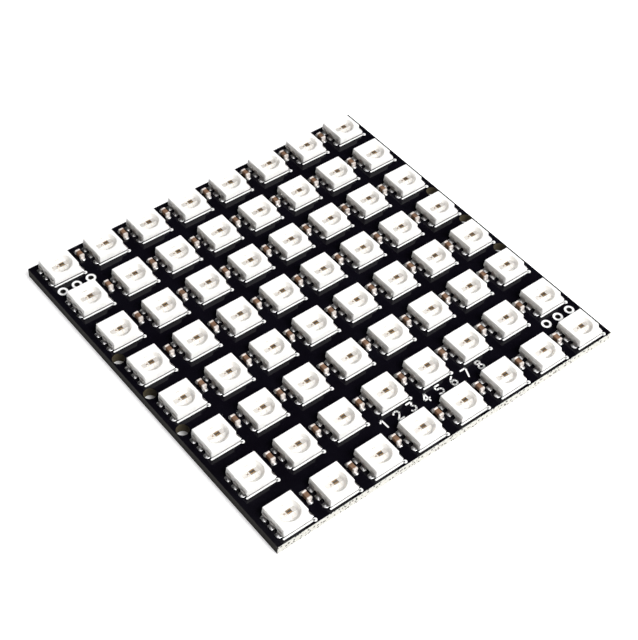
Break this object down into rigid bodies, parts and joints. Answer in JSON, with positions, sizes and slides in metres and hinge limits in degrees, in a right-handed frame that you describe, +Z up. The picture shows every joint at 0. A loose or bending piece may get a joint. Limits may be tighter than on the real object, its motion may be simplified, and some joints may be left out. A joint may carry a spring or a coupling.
{
  "type": "led dot matrix",
  "caption": "Square LED dot matrix: white surface-mount LED packages with round reflector cups on a black circuit board, with plated terminals and edge holes.",
  "frame": {"origin": "middle of the board's underside", "axes": "+X along the rows of LEDs, from the input terminal's side to the output terminal's side; +Y towards the first row; +Z up, the way the LEDs shine"},
  "size_m": [0.0654, 0.0636, 0.0032],
  "materials": {
    "board": "black solder mask over glass-epoxy laminate, glossy",
    "terminal_plating": "bright tin plating",
    "cap_metal": "satin tin",
    "housing_plastic": "white moulded plastic, matt",
    "clear_filling": "clear soft resin, smooth",
    "lead_metal": "silver plating",
    "driver_silicon": "polished silicon",
    "emitter_crystal": "polished crystal",
    "capacitor_ceramic": "brown fired ceramic",
    "solder": "bright solder"
  },
  "bodies": {
    "root": {"printed_circuit_board": "board", "input_terminal": "terminal_plating", "output_terminal": "terminal_plating", "capacitor_caps": "cap_metal", "row_1_housings": "housing_plastic", "row_1_fillings": "clear_filling", "row_1_leads": "lead_metal", "row_1_driver_chips": "driver_silicon", "row_1_emitter_chips": "emitter_crystal", "row_1_capacitors": "capacitor_ceramic", "row_1_solder_joints": "solder", "row_2_housings": "housing_plastic", "row_2_fillings": "clear_filling", "row_2_leads": "lead_metal", "row_2_driver_chips": "driver_silicon", "row_2_emitter_chips": "emitter_crystal", "row_2_capacitors": "capacitor_ceramic", "row_2_solder_joints": "solder", "row_3_housings": "housing_plastic", "row_3_fillings": "clear_filling", "row_3_leads": "lead_metal", "row_3_driver_chips": "driver_silicon", "row_3_emitter_chips": "emitter_crystal", "row_3_capacitors": "capacitor_ceramic", "row_3_solder_joints": "solder", "row_4_housings": "housing_plastic", "row_4_fillings": "clear_filling", "row_4_leads": "lead_metal", "row_4_driver_chips": "driver_silicon", "row_4_emitter_chips": "emitter_crystal", "row_4_capacitors": "capacitor_ceramic", "row_4_solder_joints": "solder", "row_5_housings": "housing_plastic", "row_5_fillings": "clear_filling", "row_5_leads": "lead_metal", "row_5_driver_chips": "driver_silicon", "row_5_emitter_chips": "emitter_crystal", "row_5_capacitors": "capacitor_ceramic", "row_5_solder_joints": "solder", "row_6_housings": "housing_plastic", "row_6_fillings": "clear_filling", "row_6_leads": "lead_metal", "row_6_driver_chips": "driver_silicon", "row_6_emitter_chips": "emitter_crystal", "row_6_capacitors": "capacitor_ceramic", "row_6_solder_joints": "solder", "row_7_housings": "housing_plastic", "row_7_fillings": "clear_filling", "row_7_leads": "lead_metal", "row_7_driver_chips": "driver_silicon", "row_7_emitter_chips": "emitter_crystal", "row_7_capacitors": "capacitor_ceramic", "row_7_solder_joints": "solder", "row_8_housings": "housing_plastic", "row_8_fillings": "clear_filling", "row_8_leads": "lead_metal", "row_8_driver_chips": "driver_silicon", "row_8_emitter_chips": "emitter_crystal", "row_8_capacitors": "capacitor_ceramic", "row_8_solder_joints": "solder"}
  },
  "joints": []
}
